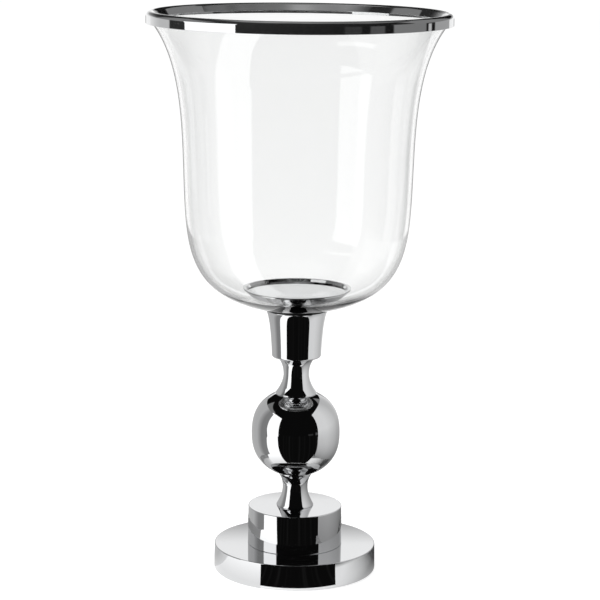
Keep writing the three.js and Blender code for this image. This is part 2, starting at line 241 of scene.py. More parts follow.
def segment_normals(profile, closed):
    """Normals at both ends of every stretch of a profile, shared across gentle bends."""
    after = np.roll(profile, -1, axis=0)
    along = after - profile
    if not closed:
        along[-1] = along[-2]
    lengths = np.linalg.norm(along, axis=1)
    facing = np.stack([along[:, 1], -along[:, 0]], 1) / np.maximum(lengths, TINY)[:, None]
    starts, ends = facing.copy(), facing.copy()
    count = len(profile)
    for index in range(count):
        before = (index - 1) % count
        if not closed and index in (0, count - 1):
            continue
        if np.dot(facing[before], facing[index]) > math.cos(SHARP_ANGLE):
            shared = unit(facing[before] * lengths[before] + facing[index] * lengths[index])
            ends[before] = shared
            starts[index] = shared
    return starts, ends


def linked(name, data):
    """An object in the scene."""
    thing = bpy.data.objects.new(name, data)
    bpy.context.scene.collection.objects.link(thing)
    return thing


def turned(name, profile, sides, closed=True):
    """A piece turned about the Z axis, with exact normals along its profile."""
    profile = np.asarray(profile, float)
    starts, ends = segment_normals(profile, closed)
    angles = np.linspace(0, 2 * math.pi, sides, endpoint=False)
    spokes = np.stack([np.cos(angles), np.sin(angles)], 1)
    vertices, rings = [], []
    for r, z in profile:
        first = len(vertices)
        if r < ON_AXIS:
            vertices.append((0, 0, z * MM))
            rings.append([first] * sides)
        else:
            vertices += [(r * x * MM, r * y * MM, z * MM) for x, y in spokes]
            rings.append(list(range(first, first + sides)))
    faces, normals = [], []
    stretches = len(profile) if closed else len(profile) - 1
    for index in range(stretches):
        here, there = rings[index], rings[(index + 1) % len(profile)]
        for side in range(sides):
            near, far = side, (side + 1) % sides
            loop = [(here[near], near, starts), (here[far], far, starts),
                    (there[far], far, ends), (there[near], near, ends)]
            if here[near] == here[far]:
                loop.pop(1)
            if there[near] == there[far]:
                loop.pop(2)
            faces.append([vertex for vertex, _, _ in loop])
            for _, spoke, leans in loop:
                across, up = leans[index]
                normals.append((across * spokes[spoke][0], across * spokes[spoke][1], up))
    mesh = bpy.data.meshes.new(name)
    mesh.from_pydata(vertices, [], faces)
    mesh.polygons.foreach_set("use_smooth", [True] * len(faces))
    mesh.normals_split_custom_set(normals)
    mesh.update()
    return linked(name, mesh)


# Shapes that are not simply turned
def ringed(name, rings, across_closed=True, cap_ends=False):
    """A piece skinned over rings of points, with its sharp edges found by angle."""
    rings = [np.asarray(ring, float) * MM for ring in rings]
    count = len(rings[0])
    vertices = [tuple(point) for ring in rings for point in ring]
    faces = []
    stretches = len(rings) if across_closed else len(rings) - 1
    for index in range(stretches):
        here, there = index * count, ((index + 1) % len(rings)) * count
        for side in range(count):
            far = (side + 1) % count
            faces.append((here + side, here + far, there + far, there + side))
    if cap_ends:
        last = (len(rings) - 1) * count
        faces.append(tuple(reversed(range(count))))
        faces.append(tuple(range(last, last + count)))
    mesh = bpy.data.meshes.new(name)
    mesh.from_pydata(vertices, [], faces)
    mesh.shade_smooth()
    mesh.set_sharp_from_angle(angle=SHARP_ANGLE)
    mesh.update()
    return linked(name, mesh)


def circle(reach, height, sides=SMALL_SIDES):
    """A ring of points, where reach is a radius or a function of the angle."""
    angles = np.linspace(0, 2 * math.pi, sides, endpoint=False)
    radii = np.array([reach(angle) if callable(reach) else reach for angle in angles])
    return np.stack([radii * np.cos(angles), radii * np.sin(angles), np.full(sides, height)], 1)


# Nuts, spring washer and threads
HEXAGON_SIDE = math.pi / 3
NUT_CHAMFER = 0.7
BORE_CHAMFER = 0.4
SAW_SLOT = 1.6
SAW_SLANT = math.pi / 9
THREAD_PITCH = 1.5
THREAD_DEPTH = 0.55
THREAD_STEEPNESS = 1.35
THREAD_CREST = 0.1
ROD_CHAMFER = 0.8
TOP_THREAD = 14
FOOT_THREAD = 24
THREAD_RUNOUT = 2.5
THREAD_STEP = 0.15
PLAIN_MARGIN = 0.1
PLAIN_RINGS = 6


def hex_nut(name, node):
    """A hexagon nut with its corners turned off at both ends."""
    bottom, top, corner_radius = low(node), high(node), radius(node)
    flat = corner_radius * math.cos(HEXAGON_SIDE / 2)

    def trimmed(drop, height):
        """A hexagon whose corners are turned off by a depth."""
        def reach(angle):
            within = (angle + HEXAGON_SIDE / 2) % HEXAGON_SIDE - HEXAGON_SIDE / 2
            return min(flat / math.cos(within), corner_radius - drop)
        return circle(reach, height)

    drops = [NUT_CHAMFER * step / CORNER_STEPS for step in range(CORNER_STEPS + 1)]
    rings = [circle(BORE_RADIUS + BORE_CHAMFER, bottom)]
    rings += [trimmed(drop, bottom + (NUT_CHAMFER - drop) / 2) for drop in reversed(drops)]
    rings += [trimmed(drop, top - (NUT_CHAMFER - drop) / 2) for drop in drops]
    rings += [circle(BORE_RADIUS + BORE_CHAMFER, top), circle(BORE_RADIUS, top - BORE_CHAMFER),
              circle(BORE_RADIUS, bottom + BORE_CHAMFER)]
    return ringed(name, rings)


def split_washer(name, node):
    """A ring of rounded section, sawn through at a slant."""
    bottom, top, outer = low(node), high(node), radius(node)
    middle = (bottom + top) / 2
    section = outline((BORE_RADIUS, bottom), (outer, bottom), (outer, top), (BORE_RADIUS, top))
    half = SAW_SLOT / 2 / math.cos(SAW_SLANT)

    def edge(point, side):
        shift = -math.tan(SAW_SLANT) * (point[1] - middle)
        return math.asin((shift + side * half) / point[0])

    rings = []
    for share in np.linspace(0, 1, SMALL_SIDES):
        ring = []
        for point in section:
            start, end = edge(point, 1), 2 * math.pi + edge(point, -1)
            angle = end + (start - end) * share
            ring.append((point[0] * math.cos(angle), point[0] * math.sin(angle), point[1]))
        rings.append(ring)
    return ringed(name, rings, across_closed=False, cap_ends=True)


def threaded_rod(name, node):
    """A bar with a rolled thread at both ends and chamfered tips."""
    bottom, top = low(node), high(node)

    def thread_share(height):
        from_foot = (bottom + FOOT_THREAD - height) / THREAD_RUNOUT
        from_top = (height - top + TOP_THREAD) / THREAD_RUNOUT
        return min(max(from_foot, from_top, 0), 1)

    def chamfered(height):
        return ROD_RADIUS - max(0, ROD_CHAMFER - (height - bottom), ROD_CHAMFER - (top - height))

    def reach(height):
        depth = THREAD_DEPTH * thread_share(height)

        def at_angle(angle):
            turn = (height / THREAD_PITCH - angle / (2 * math.pi)) % 1
            valley = min(1, max(0, THREAD_STEEPNESS * (1 - abs(2 * turn - 1)) - THREAD_CREST))
            return min(chamfered(height), ROD_RADIUS - depth * valley)
        return at_angle

    plain_low, plain_high = bottom + FOOT_THREAD + PLAIN_MARGIN, top - TOP_THREAD - PLAIN_MARGIN
    heights = [*np.arange(bottom, plain_low, THREAD_STEP),
               *np.linspace(plain_low, plain_high, PLAIN_RINGS),
               *np.arange(plain_high + THREAD_STEP, top, THREAD_STEP), top]
    rings = [circle(reach(height), height, ROD_SIDES) for height in heights]
    return ringed(name, rings, across_closed=False, cap_ends=True)


# Profiles of the pieces, in the order that they are stacked
def flat_ring_profile(node, inner, fillet=EDGE_SOFTNESS):
    bottom, top, outer = low(node), high(node), radius(node)
    corners = ((inner, bottom), (outer, bottom), (outer, top), (inner, top))
    return outline(*[(*place, fillet) for place in corners])


def pad_profile():
    bottom, top, outer = low("floor_pad"), high("floor_pad"), radius("floor_pad")
    return outline((0, bottom), (outer, bottom, PAD_ROUNDING), (outer, top), (0, top), closed=False)


def disc_profile():
    bottom, foot = low("base_disc"), radius("base_disc")
    top = high("base_disc") - BOSS_HEIGHT
    boss = DRUM_HOLLOW - FIT_GAP
    return outline(
        (DISC_HOLLOW, bottom), (foot, bottom, DISC_FOOT_ROUNDING),
        (DISC_TOP_RADIUS, top, DISC_TOP_ROUNDING), (boss, top), (boss, top + BOSS_HEIGHT),
        (BORE_RADIUS, top + BOSS_HEIGHT), (BORE_RADIUS, top - DISC_ROOF),
        (DISC_HOLLOW, top - DISC_ROOF, HOLLOW_ROUNDING))


def weight_profile():
    bottom, top, outer = low("base_weight"), high("base_weight"), radius("base_weight")
    well_top = high("foot_washer")
    return outline(
        (WELL_RADIUS, bottom, WELL_ROUNDING), (outer, bottom, WEIGHT_FOOT_ROUNDING),
        (outer, top, WEIGHT_TOP_ROUNDING), (BORE_RADIUS, top), (BORE_RADIUS, well_top),
        (WELL_RADIUS, well_top, WELL_ROUNDING))


def drum_profile():
    bottom, top, foot = low("base_drum"), high("base_drum"), radius("base_drum")
    return outline(
        (DRUM_HOLLOW, bottom), (foot, bottom, DRUM_ROUNDING), (DRUM_TOP_RADIUS, top, DRUM_ROUNDING),
        (SPIGOT_HOLE, top), (SPIGOT_HOLE, top - DRUM_ROOF),
        (DRUM_HOLLOW, top - DRUM_ROOF, HOLLOW_ROUNDING))


def flare(waist, waist_height, end, end_height, reach):
    """Curve from a waist, where it is upright for a share of the height, to an end."""
    return bezier((waist, waist_height), (waist, waist_height + reach * (end_height - waist_height)),
                  (end, end_height), steps=CURVE_STEPS // 2)


def neck_profile(node):
    size, foot = NECKS[node], radius(node)
    bottom, top = low(node) + SPIGOT_LENGTH, high(node) - SPIGOT_LENGTH
    waist_height = bottom + size["waist_height"]
    below = flare(size["waist"], waist_height, foot, bottom + NECK_EDGE, size["foot_reach"])[::-1]
    above = flare(size["waist"], waist_height, size["head"], top - NECK_EDGE, size["head_reach"])
    return outline(
        (BORE_RADIUS, bottom - SPIGOT_LENGTH), (SPIGOT_RADIUS, bottom - SPIGOT_LENGTH),
        (SPIGOT_RADIUS, bottom, SPIGOT_ROUNDING), (foot, bottom, THIN_ROUNDING), below, above[1:],
        (size["head"], top, THIN_ROUNDING), (SPIGOT_RADIUS, top, SPIGOT_ROUNDING),
        (SPIGOT_RADIUS, top + SPIGOT_LENGTH), (BORE_RADIUS, top + SPIGOT_LENGTH))


def ball_curve(equator, half_height, middle, from_height, to_height, steps):
    """Points of the ball between two heights from its middle, going up."""
    start, end = math.asin(from_height / half_height), math.asin(to_height / half_height)
    shares = np.sin(np.linspace(start, end, steps + 1))
    radii = equator * np.sqrt(1 - np.abs(shares) ** (2 / BALL_FULLNESS))
    return np.stack([radii, middle + shares * half_height], 1)


def ball_profile():
    bottom, top = low("ball"), high("ball")
    head_share = NECKS["lower_neck"]["head"] / BALL_RADIUS
    flat = BALL_HALF_HEIGHT * (1 - head_share ** 2) ** (BALL_FULLNESS / 2)
    middle = bottom + flat
    outside = ball_curve(
        BALL_RADIUS, BALL_HALF_HEIGHT, middle, bottom - middle, top - middle, 2 * CURVE_STEPS)
    inside = ball_curve(BALL_RADIUS - BALL_WALL, BALL_HALF_HEIGHT - BALL_WALL, middle,
                        bottom - middle + BALL_POLE_WALL, top - middle - BALL_POLE_WALL, CURVE_STEPS)
    return outline(
        (SPIGOT_HOLE, bottom), outside, (SPIGOT_HOLE, top), (SPIGOT_HOLE, top - BALL_POLE_WALL),
        inside[::-1], (SPIGOT_HOLE, bottom + BALL_POLE_WALL))


def cup_profile():
    bottom, top, rim = low("stem_cup"), high("stem_cup"), radius("stem_cup")
    swell = (CUP_SWELL[0], bottom + CUP_SWELL[1])
    side = bezier((CUP_FOOT_RADIUS, bottom + CUP_FOOT_ROUNDING), swell, (rim, top - CUP_EDGE))
    return outline(
        (SPIGOT_HOLE, bottom), (CUP_FOOT_RADIUS, bottom, CUP_FOOT_ROUNDING), side[1:],
        (rim, top, THIN_ROUNDING), (BORE_RADIUS, top), (BORE_RADIUS, bottom + SPIGOT_RECESS),
        (SPIGOT_HOLE, bottom + SPIGOT_RECESS))


def way(lean):
    """Direction that leans out from upright by an angle."""
    return np.array([math.sin(lean), math.cos(lean)])


def bell_outside():
    """Outside of the bell above its seat: a bowl, then a flare."""
    seat, shoulder = np.array([SEAT_RADIUS, 0.0]), np.array(SHOULDER, float)
    lip = np.array([LIP_RADIUS, LIP_HEIGHT])
    bowl = bezier(seat, seat + way(math.pi / 2 - SEAT_SLOPE) * SEAT_REACH,
                  shoulder - way(SHOULDER_LEAN) * SHOULDER_REACH_DOWN, shoulder)
    flare_up = bezier(shoulder, shoulder + way(SHOULDER_LEAN) * SHOULDER_REACH_UP,
                      lip - way(LIP_LEAN) * LIP_REACH, lip)
    return np.concatenate([bowl, flare_up[1:]])


def bell_inside(outside):
    """Inside of the bell: the outside moved in by the glass, from the flat bottom to the lip."""
    along = np.gradient(outside, axis=0)
    along /= np.linalg.norm(along, axis=1)[:, None]
    fade = np.maximum(0, 1 - outside[:, 1] / BELL_THICK_REACH) ** 2
    wall = (BELL_WALL + (BELL_BOTTOM_WALL - BELL_WALL) * fade)[:, None]
    moved = outside + np.stack([-along[:, 1], along[:, 0]], 1) * wall
    above_floor = moved[:, 1] > BELL_BOTTOM_WALL + BELL_INSIDE_MARGIN
    risen = moved[above_floor & (moved[:, 1] < LIP_HEIGHT - BELL_INSIDE_MARGIN)]
    floor_edge = (SEAT_RADIUS - BELL_BOTTOM_WALL * math.tan(SEAT_SLOPE / 2), BELL_BOTTOM_WALL)
    lip_edge = (np.interp(LIP_HEIGHT, moved[:, 1], moved[:, 0]), LIP_HEIGHT)
    return np.concatenate([[floor_edge], risen, [lip_edge]])


def bell_profile():
    seat = np.array([0, low("glass_bell")])
    outside = bell_outside()
    return outline(
        (BELL_HOLE, seat[1], BELL_HOLE_ROUNDING), outside + seat, (bell_inside(outside) + seat)[::-1],
        (BELL_HOLE, seat[1] + BELL_BOTTOM_WALL, BELL_HOLE_ROUNDING))


def plate_profile():
    bottom, top, rim = low("candle_plate"), high("candle_plate"), radius("candle_plate")
    floor_top = top - PLATE_DEPTH
    hollow = floor_top - PLATE_FLOOR
    skirt = PLATE_FOOT_RADIUS - PLATE_FOOT_WIDTH
    spread = (rim - PLATE_FOOT_RADIUS) / (top - PLATE_RIM_EDGE - bottom)
    inner_rim = rim - PLATE_RIM_WIDTH
    return outline(
        (0, hollow), (skirt + spread * (hollow - bottom), hollow, PLATE_HOLLOW_ROUNDING),
        (skirt, bottom), (PLATE_FOOT_RADIUS, bottom, PLATE_ROUNDING),
        (rim, top - PLATE_RIM_EDGE, PLATE_ROUNDING), (rim, top, PLATE_ROUNDING),
        (inner_rim, top, PLATE_INNER_ROUNDING), (inner_rim - PLATE_DRAFT, floor_top, PLATE_ROUNDING),
        (0, floor_top), closed=False)


def rim_roll(rounding):
    """Points over the rim, at a distance from its two centres, from its outer side to its leg."""
    centre, height = radius("rim_ring") - RIM_ROUNDING, high("rim_ring") - RIM_ROUNDING
    over = np.linspace(0, math.pi / 2, ROLL_STEPS + 1)
    down = np.linspace(math.pi / 2, math.pi - RIM_INSIDE_LEAN, ROLL_STEPS + 1)
    outer = np.stack([centre + rounding * np.cos(over), height + rounding * np.sin(over)], 1)
    inner_centre = centre - RIM_CROWN
    inner = np.stack([inner_centre + rounding * np.cos(down), height + rounding * np.sin(down)], 1)
    return np.concatenate([outer, inner])


def down_leg(roll, height):
    """Point down the slanted leg at a height, from where the rounding ends."""
    return roll[-1][0] - (roll[-1][1] - height) * math.tan(RIM_INSIDE_LEAN), height


def rim_profile():
    bottom, outer = low("rim_ring"), radius("rim_ring")
    leg = bottom + RIM_OVERLAP_OUTSIDE - RIM_OVERLAP_INSIDE
    outside, inside = rim_roll(RIM_ROUNDING), rim_roll(RIM_ROUNDING - RIM_WALL)
    return outline(
        (outer, bottom, RIM_EDGE_ROUNDING), outside, (*down_leg(outside, leg), RIM_EDGE_ROUNDING),
        (*down_leg(inside, leg), RIM_EDGE_ROUNDING), inside[::-1],
        (outer - RIM_WALL, bottom, RIM_EDGE_ROUNDING))


def seal_profile():
    bottom, outer = low("rim_seal"), radius("rim_seal")
    top = rim_roll(RIM_ROUNDING - RIM_WALL - SEAL_GAP)
    return outline(down_leg(top, bottom), (outer, bottom), top)


# Materials, and the share of metal in the rim's chrome: hands touch it, so it has a little more haze
HANDLED_METALLIC = 0.982


class Surface:
    """A material being built: its shader and short calls that add nodes to it."""

    def __init__(self, name, **values):
        self.material = bpy.data.materials.new(name)
        self.material.use_nodes = True
        self.tree = self.material.node_tree
        self.shader = self.tree.nodes["Principled BSDF"]
        for socket, value in values.items():
            self.shader.inputs[socket.replace("_", " ")].default_value = value

    def add(self, kind, **values):
        """A node with the given sockets set to values or linked to outputs."""
        node = self.tree.nodes.new(kind)
        for socket, value in values.items():
            self.feed(node.inputs[socket.replace("_", " ")], value)
        return node

    def feed(self, socket, value):
        if isinstance(value, bpy.types.NodeSocket):
            self.tree.links.new(value, socket)
        else:
            socket.default_value = value

    def place(self):
        """Position on the object, in metres."""
        return self.add("ShaderNodeTexCoord").outputs["Object"]

    def noise(self, scale, detail=3, roughness=0.5, stretch=(1, 1, 1)):
        scaled = self.add("ShaderNodeMapping", Vector=self.place(), Scale=stretch)
        return self.add("ShaderNodeTexNoise", Vector=scaled.outputs["Vector"], Scale=scale,
                        Detail=detail, Roughness=roughness).outputs["Fac"]

    def lathe_lines(self, scale, detail=4):
        """Noise that runs round the axis, as tool and polishing marks do."""
        parts = self.add("ShaderNodeSeparateXYZ", Vector=self.place())
        squares = [self.math("POWER", parts.outputs[axis], 2) for axis in "XY"]
        across = self.math("SQRT", self.math("ADD", *squares))
        along = self.add("ShaderNodeCombineXYZ", X=across, Z=parts.outputs["Z"])
        return self.add("ShaderNodeTexNoise", Vector=along.outputs["Vector"], Scale=scale,
                        Detail=detail).outputs["Fac"]

    def math(self, operation, first, second=0.0):
        node = self.tree.nodes.new("ShaderNodeMath")
        node.operation = operation
        self.feed(node.inputs[0], first)
        self.feed(node.inputs[1], second)
        return node.outputs["Value"]

    def spread(self, value, low_out, high_out, low_in=0.3, high_in=0.7):
        """A value moved from one range to another."""
        node = self.add("ShaderNodeMapRange", Value=value, From_Min=low_in, From_Max=high_in,
                        To_Min=low_out, To_Max=high_out)
        return node.outputs["Result"]

    def colour(self, value, dark, light):
        """A colour between two, by a value."""
        node = self.tree.nodes.new("ShaderNodeMix")
        node.data_type = "RGBA"
        self.feed(node.inputs["Factor"], value)
        node.inputs["A"].default_value = (*dark, 1)
        node.inputs["B"].default_value = (*light, 1)
        return node.outputs["Result"]

    def bump(self, *layers):
        """Bumps laid over each other, each a height and its depth in millimetres."""
        normal = None
        for height, depth in layers:
            node = self.add("ShaderNodeBump", Height=height, Distance=depth * MM, Strength=1.0)
            if normal is not None:
                self.feed(node.inputs["Normal"], normal)
            normal = node.outputs["Normal"]
        self.feed(self.shader.inputs["Normal"], normal)

    def set(self, socket, value):
        self.feed(self.shader.inputs[socket], value)


def chrome(name="chrome", metallic=1.0):
    """Polished plate: clear reflections, faint polishing lines and a trace of handling haze."""
    surface = Surface(name, Metallic=metallic)
    haze = surface.noise(38, detail=5, roughness=0.6)
    lines = surface.lathe_lines(2600)
    surface.set("Base Color", surface.colour(haze, (0.69, 0.695, 0.705), (0.72, 0.725, 0.73)))
    rough = surface.math("ADD", surface.spread(haze, 0.012, 0.04), surface.spread(lines, 0.0, 0.018))
    surface.set("Roughness", rough)
    surface.bump((surface.noise(14, detail=1), 0.012), (lines, 0.00006))
    return surface.material


def clear_glass():
    """Blown clear glass: faint waves from blowing and a few fine seeds of unevenness."""
    surface = Surface("glass", Transmission_Weight=1.0, IOR=1.48, Roughness=0.0)
    waves = surface.noise(16, detail=2, stretch=(1, 1, 0.45))
    surface.set("Base Color", surface.colour(waves, (0.992, 0.997, 0.995), (0.998, 1.0, 0.999)))
    surface.bump((waves, 0.05), (surface.noise(70, detail=1), 0.003))
    return surface.material


def cast_iron():
    surface = Surface("cast_iron", Metallic=0.6)
    grain = surface.noise(420, detail=5)
    blotches = surface.noise(60, detail=3)
    surface.set("Base Color", surface.colour(blotches, (0.035, 0.035, 0.038), (0.07, 0.068, 0.068)))
    surface.set("Roughness", surface.spread(grain, 0.55, 0.8))
    surface.bump((blotches, 0.15), (grain, 0.12))
    return surface.material


def zinc_steel():
    """Zinc-plated steel: turned lines under a slightly blue and uneven plating."""
    surface = Surface("zinc_steel", Metallic=1.0)
    cloud = surface.noise(140, detail=4)
    lines = surface.lathe_lines(1800)
    surface.set("Base Color", surface.colour(cloud, (0.52, 0.54, 0.58), (0.66, 0.67, 0.68)))
    rough = surface.math("ADD", surface.spread(cloud, 0.24, 0.38), surface.spread(lines, 0, 0.08))
    surface.set("Roughness", rough)
    surface.bump((cloud, 0.01), (lines, 0.004))
    return surface.material


def black_rubber():
    surface = Surface("rubber")
    grain = surface.noise(900, detail=4)
    blotches = surface.noise(90)
    surface.set("Base Color", surface.colour(blotches, (0.018, 0.018, 0.019), (0.032, 0.031, 0.031)))
    surface.set("Roughness", surface.spread(grain, 0.6, 0.78))
    surface.bump((grain, 0.03))
    return surface.material


def black_felt():
    """Pressed felt: short crossing fibres and a soft sheen."""
    surface = Surface("felt", Sheen_Weight=0.4, Sheen_Roughness=0.5)
    fibres = surface.math("MAXIMUM", surface.noise(1100, detail=4, stretch=(1, 0.16, 1)),
                          surface.noise(1100, detail=4, stretch=(0.16, 1, 1)))
    surface.set("Base Color", surface.colour(fibres, (0.008, 0.008, 0.009), (0.035, 0.034, 0.036)))
    surface.set("Roughness", surface.spread(fibres, 0.85, 1.0))
    surface.bump((surface.noise(160), 0.1), (fibres, 0.15))
    return surface.material


def white_nylon():
    surface = Surface("nylon", Subsurface_Weight=0.25, Subsurface_Scale=0.002)
    grain = surface.noise(700, detail=3)
    surface.set("Base Color", surface.colour(grain, (0.74, 0.74, 0.71), (0.82, 0.82, 0.8)))
    surface.set("Roughness", surface.spread(grain, 0.38, 0.52))
    surface.bump((surface.lathe_lines(1500), 0.01), (grain, 0.01))
    return surface.material


def clear_sealant():
    """Cured silicone: milky and clear, with a few soft lumps."""
    surface = Surface("sealant", Transmission_Weight=0.7, IOR=1.41)
    lumps = surface.noise(260, detail=2)
    surface.set("Base Color", surface.colour(lumps, (0.78, 0.8, 0.79), (0.88, 0.89, 0.89)))
    surface.set("Roughness", surface.spread(lumps, 0.22, 0.36))
    surface.bump((lumps, 0.15))
    return surface.material


FINISHES = {
    "chrome": chrome(), "glass": clear_glass(), "cast_iron": cast_iron(), "zinc_steel": zinc_steel(),
    "rubber": black_rubber(), "felt": black_felt(), "nylon": white_nylon(), "sealant": clear_sealant(),
}


# The pieces
def fit(piece, node, finish, body="stand"):
    """Puts a finished piece in the place of its solid and on its body."""
    piece.data.materials.clear()
    piece.data.materials.append(FINISHES[finish])
    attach(piece, body)
    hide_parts(node)
    return piece


def turn_piece(node, profile, sides, finish, closed=True, body="stand"):
    return fit(turned(node + "_turned", profile, sides, closed), node, finish, body)


turn_piece("floor_pad", pad_profile(), STEM_SIDES, "felt", closed=False)
turn_piece("base_disc", disc_profile(), WIDE_SIDES, "chrome")
turn_piece("base_weight", weight_profile(), STEM_SIDES, "cast_iron")
turn_piece("foot_washer", flat_ring_profile("foot_washer", BORE_RADIUS), SMALL_SIDES, "zinc_steel")
turn_piece("base_drum", drum_profile(), WIDE_SIDES, "chrome")
turn_piece("lower_neck", neck_profile("lower_neck"), STEM_SIDES, "chrome")
turn_piece("ball", ball_profile(), WIDE_SIDES, "chrome")
turn_piece("upper_neck", neck_profile("upper_neck"), STEM_SIDES, "chrome")
turn_piece("stem_cup", cup_profile(), STEM_SIDES, "chrome")
turn_piece("lower_gasket", flat_ring_profile("lower_gasket", BORE_RADIUS, GASKET_ROUNDING),
           STEM_SIDES, "rubber")
bell = turn_piece("glass_bell", bell_profile(), WIDE_SIDES, "glass")
turn_piece("rod_sleeve", flat_ring_profile("rod_sleeve", BORE_RADIUS), SMALL_SIDES, "nylon")
turn_piece("upper_gasket", flat_ring_profile("upper_gasket", BORE_RADIUS, GASKET_ROUNDING),
           SMALL_SIDES, "rubber")
turn_piece("clamp_washer", flat_ring_profile("clamp_washer", BORE_RADIUS), SMALL_SIDES, "zinc_steel")
turn_piece("candle_plate", plate_profile(), WIDE_SIDES, "chrome", closed=False, body="plate")
turn_piece("rim_seal", seal_profile(), WIDE_SIDES, "sealant")
rim = turn_piece("rim_ring", rim_profile(), WIDE_SIDES, "chrome")
rim.data.materials[0] = chrome("handled_chrome", HANDLED_METALLIC)
fit(hex_nut("foot_nut_hexagon", "foot_nut"), "foot_nut", "zinc_steel")
fit(hex_nut("lock_nut_hexagon", "lock_nut"), "lock_nut", "zinc_steel")
fit(split_washer("foot_spring_washer_split", "foot_spring_washer"), "foot_spring_washer", "zinc_steel")
fit(threaded_rod("tie_rod_threaded", "tie_rod"), "tie_rod", "zinc_steel")

# Light goes through the bell without a shadow, as it does through thin glass
bell.visible_shadow = False


# Studio: what the polished metal reflects, by direction from the object
# Azimuth is 0 towards the camera and grows to the camera's right, elevation is 0 at the horizon
class World(Surface):
    """The world's shader, built with the same short calls as a material."""

    def __init__(self):
        self.world = bpy.data.worlds.new("studio")
        bpy.context.scene.world = self.world
        self.world.use_nodes = True
        self.tree = self.world.node_tree
        self.tree.nodes.clear()


class Direction:
    """Azimuth and elevation of a ray in the world, and soft-edged windows on them."""

    def __init__(self, shader):
        self.shader = shader
        way_out = shader.add("ShaderNodeTexCoord").outputs["Generated"]
        parts = shader.add("ShaderNodeSeparateXYZ", Vector=way_out)
        to_right, away, up = (parts.outputs[axis] for axis in "XYZ")
        towards = shader.math("MULTIPLY", away, -1)
        self.azimuth = self.degrees(shader.math("ARCTAN2", to_right, towards))
        self.elevation = self.degrees(shader.math("ARCSINE", up))

    def degrees(self, angle):
        return self.shader.math("MULTIPLY", angle, 180 / math.pi)

    def edge(self, angle, at, softness):
        """0 below an angle and 1 above it."""
        node = self.shader.add(
            "ShaderNodeMapRange", Value=angle, From_Min=at - softness, From_Max=at + softness)
        node.interpolation_type = "SMOOTHSTEP"
        return node.outputs["Result"]

    def window(self, azimuth, elevation, softness):
        """1 inside a range of azimuth and elevation, 0 outside. A limit of None leaves that side open."""
        share = None
        for angle, limits in ((self.azimuth, azimuth), (self.elevation, elevation)):
            for side, limit in zip((1, -1), limits):
                if limit is None:
                    continue
                inside = self.edge(angle, limit, softness)
                if side < 0:
                    inside = self.shader.math("SUBTRACT", 1, inside)
                share = inside if share is None else self.shader.math("MULTIPLY", share, inside)
        return share

    def lay(self, under, level, share):
        """A panel of one level laid over what is there."""
        node = self.shader.tree.nodes.new("ShaderNodeMix")
        node.data_type = "FLOAT"
        self.shader.feed(node.inputs["Factor"], share)
        self.shader.feed(node.inputs["A"], under)
        self.shader.feed(node.inputs["B"], level)
        return node.outputs["Result"]


# Levels of the walls and of the plain world, where 1 is white
BLACK = 0.004
LEFT_FAR = 0.62
LEFT_UPPER = 0.22
LEFT_LOW = 0.45
LEFT_END = 0.95
RIGHT_NEAR_FRONT = 0.035
RIGHT_FRONT = 0.09
RIGHT_FAR = 0.23
RIGHT_STRIPE = 0.6
RIGHT_FAR_REAR = 0.42
RIGHT_UPPER = 0.24
RIGHT_LOW = 0.55
SOFT_LIGHT = 0.6
PLAIN_WHITE = 1.0

# Heights at which the walls end, in degrees
WALL_TOP = 8
RIGHT_WALL_TOP = 14
UPPER_TOP = 44
LOW_TOP = -9
RIM_BAND = (-7, -1)
FRONT_BAND = (-6, -1)
NEAR_FRONT_BAND = (-5.5, -2.5)
WALL_SOFTNESS = 1.0
LEFT_END_SOFTNESS = 14


def studio_level(ray):
    """A dark room with pale walls beside the object and behind it, laid over each other in turn."""
    level = BLACK

    def wall(wall_level, azimuth, elevation, softness=WALL_SOFTNESS):
        nonlocal level
        level = ray.lay(level, wall_level, ray.window(azimuth, elevation, softness))

    wall(LEFT_FAR, azimuth=(None, -112), elevation=(None, WALL_TOP))
    wall(LEFT_UPPER, azimuth=(-134, -82), elevation=(WALL_TOP, UPPER_TOP))
    wall(RIGHT_NEAR_FRONT, azimuth=(33, 46), elevation=NEAR_FRONT_BAND)
    wall(RIGHT_FRONT, azimuth=(53, 65), elevation=FRONT_BAND)
    wall(RIGHT_FAR, azimuth=(73, 107), elevation=(None, RIGHT_WALL_TOP))
    wall(RIGHT_STRIPE, azimuth=(110, 114), elevation=RIM_BAND)
    wall(RIGHT_FAR_REAR, azimuth=(119, None), elevation=(None, WALL_TOP))
    wall(RIGHT_UPPER, azimuth=(96, 150), elevation=(WALL_TOP, UPPER_TOP))
    wall(LEFT_LOW, azimuth=(None, -84), elevation=(None, LOW_TOP))
    wall(RIGHT_LOW, azimuth=(60, None), elevation=(None, LOW_TOP))
    wall(LEFT_END, azimuth=(None, -137), elevation=(None, WALL_TOP), softness=LEFT_END_SOFTNESS)
    return level


def build_world():
    shader = World()
    ray = Direction(shader)
    path = shader.add("ShaderNodeLightPath")
    reflected = shader.math("MINIMUM", path.outputs["Glossy Depth"], 1)
    seen = shader.math("MAXIMUM", path.outputs["Is Camera Ray"], path.outputs["Is Transmission Ray"])
    plain = ray.lay(SOFT_LIGHT, PLAIN_WHITE, seen)
    strength = ray.lay(plain, studio_level(ray), reflected)
    background = shader.add("ShaderNodeBackground", Color=(1, 1, 1, 1), Strength=strength)
    shader.add("ShaderNodeOutputWorld", Surface=background.outputs["Background"])
    shader.world.cycles.sampling_method = "NONE"


build_world()


# Near parts of the studio, seen only in reflections
def stage_mesh(name, vertices, faces, surface):
    mesh = bpy.data.meshes.new(name)
    mesh.from_pydata([tuple(np.array(point, float) * MM) for point in vertices], [], faces)
    mesh.materials.append(surface.material)
    thing = linked(name, mesh)
    return thing


